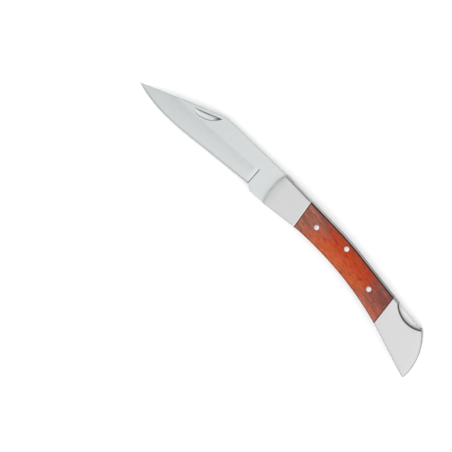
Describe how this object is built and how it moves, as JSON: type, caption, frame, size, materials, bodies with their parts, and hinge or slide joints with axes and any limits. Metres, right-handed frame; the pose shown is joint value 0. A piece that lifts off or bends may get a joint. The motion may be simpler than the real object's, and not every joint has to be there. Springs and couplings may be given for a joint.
{
  "type": "folding grafting knife",
  "caption": "Folding knife with a clip-point blade, steel bolsters, wooden scales and a rocker lock bar pressed through a thumb scallop near the butt.",
  "frame": {"origin": "on the blade's pivot axis, in the plane of the outer face the knife lies on", "axes": "+X towards the butt of the handle, +Y towards the spine, +Z through the handle's thickness towards the nail-nick side"},
  "size_m": [0.1718, 0.0281, 0.0109],
  "materials": {
    "bolster_steel": "satin, brushed along the handle",
    "blade_steel": "satin with fine grind lines across the bevel",
    "liner_steel": "plain ground",
    "spring_steel": "ground, slightly darker than the bolsters",
    "pin_nickel_silver": "polished, slightly domed",
    "washer_bronze": "dull",
    "scale_wood": "oiled orange-red hardwood with purple-brown ends"
  },
  "bodies": {
    "handle": {"liner_left": "liner_steel", "liner_right": "liner_steel", "front_bolster_left": "bolster_steel", "front_bolster_right": "bolster_steel", "scale_left": "scale_wood", "scale_right": "scale_wood", "rear_bolster_left": "bolster_steel", "rear_bolster_right": "bolster_steel", "rear_spacer": "spring_steel", "lock_spring": "spring_steel", "blade_pivot_pin": "pin_nickel_silver", "pivot_washer_left": "washer_bronze", "pivot_washer_right": "washer_bronze", "lock_bar_pin": "pin_nickel_silver", "front_rivet_left": "pin_nickel_silver", "front_rivet_right": "pin_nickel_silver", "rear_scale_pin": "pin_nickel_silver", "rear_bolster_pin_upper": "pin_nickel_silver", "rear_bolster_pin_lower": "pin_nickel_silver"},
    "blade": {"blade": "blade_steel"},
    "lock_bar": {"lock_bar": "spring_steel"}
  },
  "joints": [
    {"name": "blade_fold", "type": "hinge", "parent": "handle", "child": "blade", "pos_m": [0, 0, 0.00545], "axis": [0, 0, 1], "range_deg": [0, 165.5]},
    {"name": "lock_rock", "type": "hinge", "parent": "handle", "child": "lock_bar", "pos_m": [0.0319, 0.00395, 0.00545], "axis": [0, 0, 1], "range_deg": [-3.1, 1.35], "stiffness_Nm_per_rad": 0.2, "springref_deg": 3.44, "deforming": ["lock_spring"]}
  ]
}
